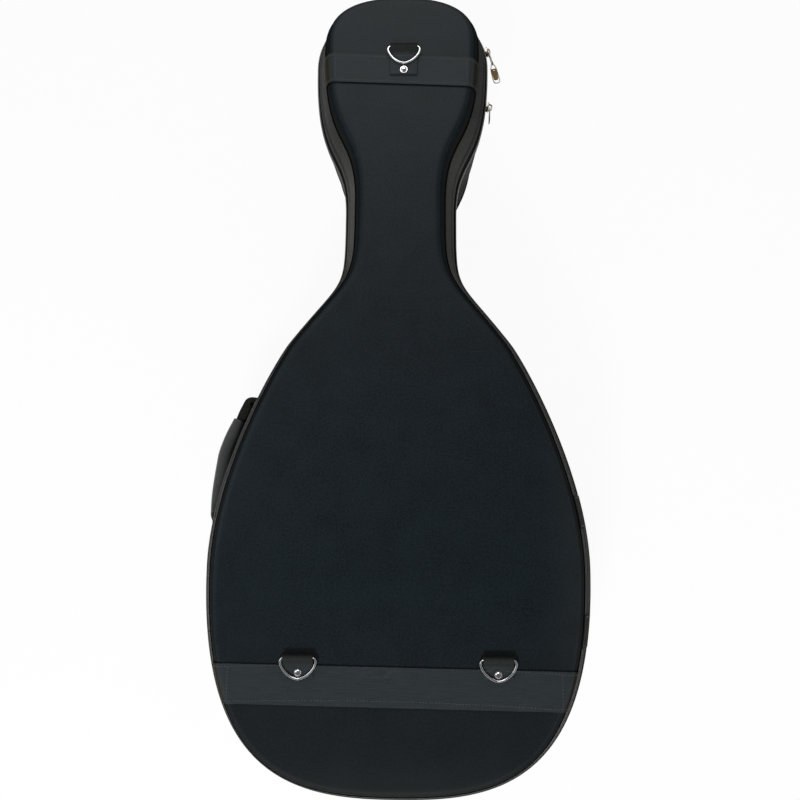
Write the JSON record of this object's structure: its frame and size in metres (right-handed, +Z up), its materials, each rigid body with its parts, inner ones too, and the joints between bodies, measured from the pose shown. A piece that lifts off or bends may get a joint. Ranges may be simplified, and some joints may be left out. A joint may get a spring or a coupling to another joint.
{
  "type": "oud hard case",
  "caption": "Pear-shaped black foam hard case with a hinged ringed lid, webbing bands, side grip, end loop and zip sliders, shaped for a short-necked lute.",
  "frame": {"origin": "middle of the base's flat resting face, at the middle of the shell's length", "axes": "+X towards the hinge side, +Y towards the head end, +Z up from the base to the lid"},
  "size_m": [0.4417, 0.9728, 0.2447],
  "materials": {
    "shell_cloth": "smooth coated black cloth",
    "gusset_cloth": "coarse woven black cloth",
    "black_cord": "black piping cord",
    "band_cloth": "dark grey band cloth",
    "webbing": "woven black webbing",
    "leatherette": "smooth blue-grey padded wrap",
    "foam": "closed-cell foam",
    "plush": "short pile plush",
    "zip_nylon": "black nylon",
    "chrome": "bright nickel plate",
    "pull_brown": "worn brown lacquer"
  },
  "bodies": {
    "case_base": {"base_face_panel": "shell_cloth", "base_foam_shell": "foam", "base_lining": "plush", "base_seam_piping": "black_cord", "base_side_gusset": "gusset_cloth", "base_zip_coil": "zip_nylon", "base_zip_tape": "zip_nylon", "neck_cradle": "plush", "handle_anchor_lower": "webbing", "handle_anchor_upper": "webbing", "head_grab_loop": "webbing", "hinge_cloth": "gusset_cloth", "zip_end_patch_lower": "webbing", "zip_end_patch_upper": "webbing"},
    "handle": {"handle_grip": "leatherette", "handle_strap_lower": "webbing", "handle_strap_upper": "webbing"},
    "lid": {"lid_face_panel": "shell_cloth", "lid_foam_shell": "foam", "lid_lining": "plush", "lid_seam_piping": "black_cord", "lid_side_gusset": "gusset_cloth", "lid_zip_coil": "zip_nylon", "lid_zip_tape": "zip_nylon", "head_band": "band_cloth", "waist_band": "band_cloth", "head_webbing_loop": "webbing", "head_rivet": "chrome", "waist_left_webbing_loop": "webbing", "waist_left_rivet": "chrome", "waist_right_webbing_loop": "webbing", "waist_right_rivet": "chrome"},
    "head_ring": {"head_d_ring": "chrome"},
    "waist_left_ring": {"waist_left_d_ring": "chrome"},
    "waist_right_ring": {"waist_right_d_ring": "chrome"},
    "slider_a": {"slider_a_body": "chrome"},
    "slider_a_link": {"slider_a_link": "chrome"},
    "slider_a_pull": {"slider_a_pull": "chrome", "slider_a_pull_plate": "pull_brown"},
    "slider_b": {"slider_b_body": "chrome"},
    "slider_b_pull": {"slider_b_pull": "chrome", "slider_b_pull_plate": "pull_brown"}
  },
  "joints": [
    {"name": "lid_hinge", "type": "hinge", "parent": "case_base", "child": "lid", "pos_m": [0.2183, -0.2225, 0.17], "axis": [0, 1, 0], "range_deg": [0, 180], "deforming": ["hinge_cloth", "zip_end_patch_upper", "zip_end_patch_lower"]},
    {"name": "handle_swing", "type": "hinge", "parent": "case_base", "child": "handle", "pos_m": [-0.16559, -0.02269, 0.128], "axis": [-0.2945, -0.9556, 0], "range_deg": [-18, 18], "deforming": ["handle_strap_upper", "handle_strap_lower"]},
    {"name": "head_ring_swing", "type": "hinge", "parent": "lid", "child": "head_ring", "pos_m": [0.003, 0.3796, 0.2409], "axis": [-1, 0, 0], "range_deg": [0, 165]},
    {"name": "waist_left_ring_swing", "type": "hinge", "parent": "lid", "child": "waist_left_ring", "pos_m": [-0.101, -0.3137, 0.2409], "axis": [-1, 0, 0], "range_deg": [0, 165]},
    {"name": "waist_right_ring_swing", "type": "hinge", "parent": "lid", "child": "waist_right_ring", "pos_m": [0.107, -0.3137, 0.2409], "axis": [-1, 0, 0], "range_deg": [0, 165]},
    {"name": "slider_a_slide", "type": "slide", "parent": "case_base", "child": "slider_a", "axis": [-0.2822, 0.9594, 0], "range_m": [-0.012, 0.004]},
    {"name": "slider_a_link_swing", "type": "hinge", "parent": "slider_a", "child": "slider_a_link", "pos_m": [0.10797, 0.4148, 0.17], "axis": [0, 0, 1], "range_deg": [-3, 120]},
    {"name": "slider_a_pull_swing", "type": "hinge", "parent": "slider_a_link", "child": "slider_a_pull", "pos_m": [0.11276, 0.3985, 0.17], "axis": [0, 0, 1], "range_deg": [-4, 60]},
    {"name": "slider_b_slide", "type": "slide", "parent": "case_base", "child": "slider_b", "axis": [0.0992, 0.9951, 0], "range_m": [-0.012, 0.012]},
    {"name": "slider_b_pull_swing", "type": "hinge", "parent": "slider_b", "child": "slider_b_pull", "pos_m": [0.1088, 0.33911, 0.17], "axis": [0, 0, 1], "range_deg": [-6, 110]}
  ]
}
